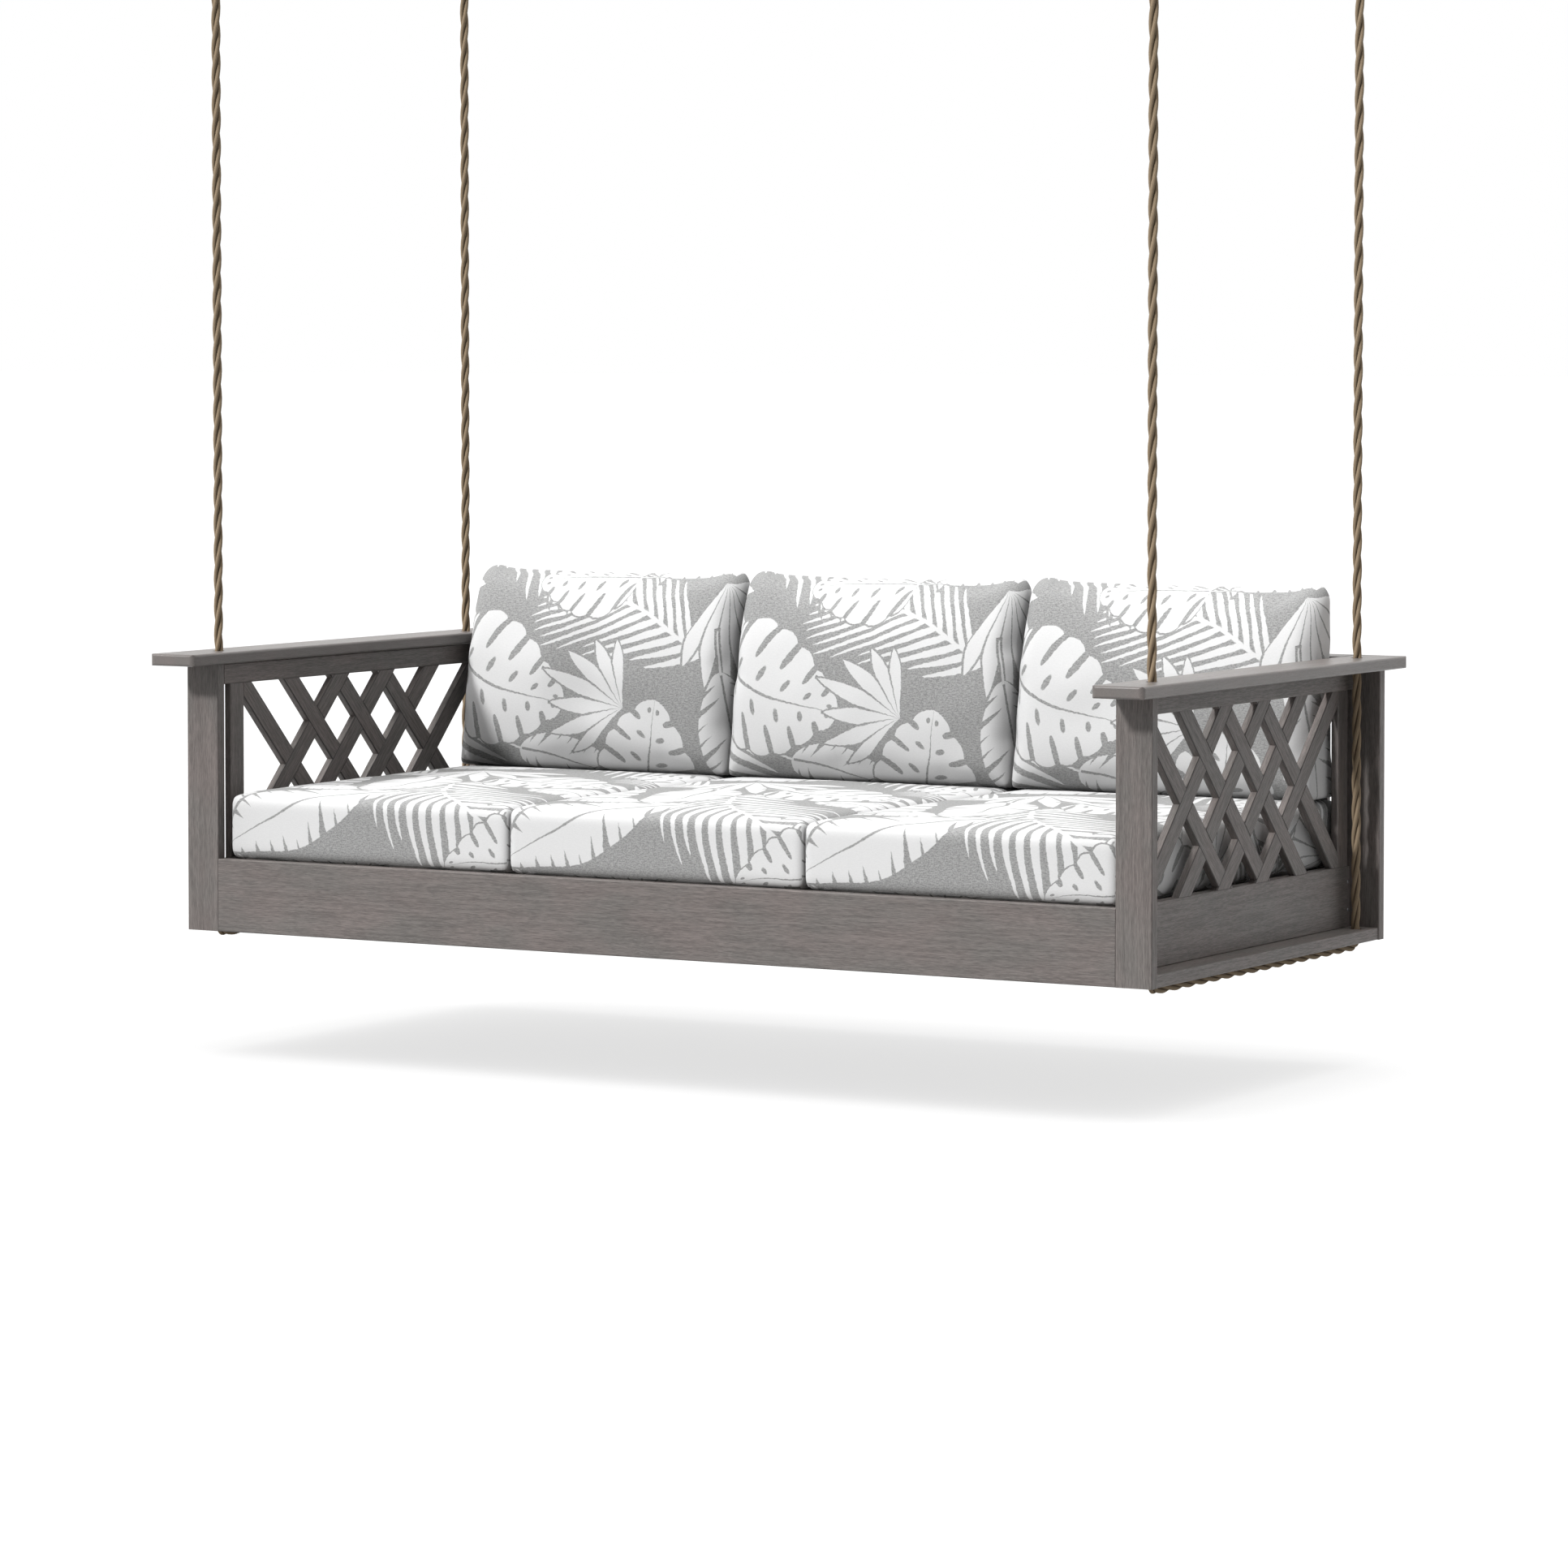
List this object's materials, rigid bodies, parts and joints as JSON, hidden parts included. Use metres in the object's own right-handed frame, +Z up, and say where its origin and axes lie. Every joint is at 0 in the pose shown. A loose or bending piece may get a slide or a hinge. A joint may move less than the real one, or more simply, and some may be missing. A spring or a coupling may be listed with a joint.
{
  "type": "hanging swing bed",
  "caption": "Daybed swing of eased lumber boards with woven lattice ends and back, loose seat and back cushions, hung by ropes that run through the arms and under the ends.",
  "frame": {"origin": "on the ceiling plane, midway between the four eye bolts", "axes": "+X along the bed to the right as seen from its front, +Y to its back, +Z up; the bed hangs at negative Z"},
  "size_m": [2.304, 1.228, 2.3393],
  "materials": {
    "weathered_lumber": "satin, brushed grain",
    "arm_lumber": "satin, brushed grain",
    "twisted_rope": "three-strand twist",
    "hanger_steel": "zinc plated",
    "black_steel": "black powder coat",
    "cushion_fabric": "woven, leaf print"
  },
  "bodies": {
    "hangers": {"hanger_front_left": "hanger_steel", "hanger_front_right": "hanger_steel", "hanger_rear_left": "hanger_steel", "hanger_rear_right": "hanger_steel"},
    "front_ropes": {"link_front_left": "hanger_steel", "link_front_right": "hanger_steel", "thimble_front_left": "hanger_steel", "thimble_front_right": "hanger_steel", "rope_front_left": "twisted_rope", "rope_front_right": "twisted_rope"},
    "bed": {"sling_rope_left": "twisted_rope", "sling_rope_right": "twisted_rope", "post_front_left": "weathered_lumber", "post_front_right": "weathered_lumber", "post_rear_left": "weathered_lumber", "post_rear_right": "weathered_lumber", "front_rail": "weathered_lumber", "back_rail": "weathered_lumber", "side_rail_left": "weathered_lumber", "side_rail_right": "weathered_lumber", "ledge_left": "weathered_lumber", "ledge_right": "weathered_lumber", "rail_spacers": "weathered_lumber", "arm_left": "arm_lumber", "arm_right": "arm_lumber", "back_cap": "arm_lumber", "top_rail_left": "weathered_lumber", "top_rail_right": "weathered_lumber", "top_rail_back": "weathered_lumber", "stile_left_front": "weathered_lumber", "stile_left_rear": "weathered_lumber", "stile_right_front": "weathered_lumber", "stile_right_rear": "weathered_lumber", "stile_back_left": "weathered_lumber", "stile_back_right": "weathered_lumber", "lattice_left_rising": "weathered_lumber", "lattice_left_falling": "weathered_lumber", "lattice_right_rising": "weathered_lumber", "lattice_right_falling": "weathered_lumber", "lattice_back_rising": "weathered_lumber", "lattice_back_falling": "weathered_lumber", "cleat_front": "weathered_lumber", "cleat_back": "weathered_lumber", "centre_stringer": "weathered_lumber", "seat_slats": "weathered_lumber", "steel_brackets": "black_steel", "bracket_screws": "hanger_steel"},
    "rear_ropes": {"link_rear_left": "hanger_steel", "link_rear_right": "hanger_steel", "thimble_rear_left": "hanger_steel", "thimble_rear_right": "hanger_steel", "rope_rear_left": "twisted_rope", "rope_rear_right": "twisted_rope"},
    "seat_left": {"seat_cushion_left": "cushion_fabric"},
    "backrest_left": {"back_cushion_left": "cushion_fabric"},
    "seat_centre": {"seat_cushion_centre": "cushion_fabric"},
    "backrest_centre": {"back_cushion_centre": "cushion_fabric"},
    "seat_right": {"seat_cushion_right": "cushion_fabric"},
    "backrest_right": {"back_cushion_right": "cushion_fabric"}
  },
  "joints": [
    {"name": "front_ropes_swing", "type": "hinge", "parent": "hangers", "child": "front_ropes", "pos_m": [0, -0.474, -0.0357], "axis": [1, 0, 0], "range_deg": [-12, 12]},
    {"name": "bed_stays_level", "type": "hinge", "parent": "front_ropes", "child": "bed", "pos_m": [0, -0.474, -1.653], "axis": [1, 0, 0], "range_deg": [-12, 12]},
    {"name": "rear_ropes_swing", "type": "hinge", "parent": "hangers", "child": "rear_ropes", "pos_m": [0, 0.474, -0.0357], "axis": [1, 0, 0], "range_deg": [-12, 12]},
    {"name": "seat_left_lift", "type": "slide", "parent": "bed", "child": "seat_left", "axis": [0, 0, 1], "range_m": [0, 0.25]},
    {"name": "backrest_left_lift", "type": "slide", "parent": "seat_left", "child": "backrest_left", "axis": [0, 0, 1], "range_m": [0, 0.3]},
    {"name": "seat_centre_lift", "type": "slide", "parent": "bed", "child": "seat_centre", "axis": [0, 0, 1], "range_m": [0, 0.25]},
    {"name": "backrest_centre_lift", "type": "slide", "parent": "seat_centre", "child": "backrest_centre", "axis": [0, 0, 1], "range_m": [0, 0.3]},
    {"name": "seat_right_lift", "type": "slide", "parent": "bed", "child": "seat_right", "axis": [0, 0, 1], "range_m": [0, 0.25]},
    {"name": "backrest_right_lift", "type": "slide", "parent": "seat_right", "child": "backrest_right", "axis": [0, 0, 1], "range_m": [0, 0.3]}
  ],
  "couplings": [
    {"joint": "bed_stays_level", "follows": "front_ropes_swing", "ratio": -1},
    {"joint": "rear_ropes_swing", "follows": "front_ropes_swing", "ratio": 1}
  ]
}
